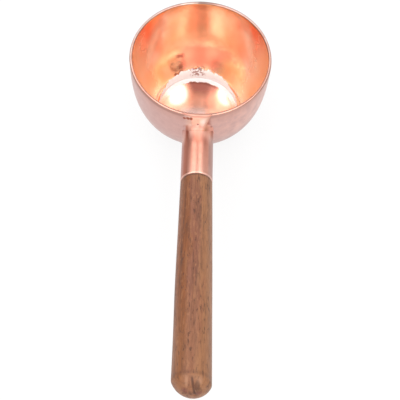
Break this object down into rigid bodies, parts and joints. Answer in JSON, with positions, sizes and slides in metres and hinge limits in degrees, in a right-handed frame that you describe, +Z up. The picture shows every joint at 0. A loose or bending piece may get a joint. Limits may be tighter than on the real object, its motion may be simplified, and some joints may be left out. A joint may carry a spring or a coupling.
{
  "type": "coffee scoop",
  "caption": "Deep round copper scoop bowl with a flat stepped base, a brazed tube ferrule and a straight turned wooden handle, for measuring ground coffee.",
  "frame": {"origin": "centre of the bowl's flat base, on the surface that the scoop stands on", "axes": "+Z up along the bowl's axis, -Y towards the handle's end, +X to the right of someone who holds the handle"},
  "size_m": [0.0462, 0.1369, 0.0385],
  "materials": {
    "bowl_copper": "polished copper, softly worn inside",
    "ferrule_copper": "polished copper tube",
    "braze_metal": "dressed and polished filler metal",
    "adhesive": "hardened adhesive, out of sight",
    "handle_wood": "mid-brown hardwood with a thin satin lacquer"
  },
  "bodies": {
    "root": {"bowl": "bowl_copper", "ferrule": "ferrule_copper", "braze_fillet": "braze_metal", "tenon_bond": "adhesive", "handle": "handle_wood"}
  },
  "joints": []
}
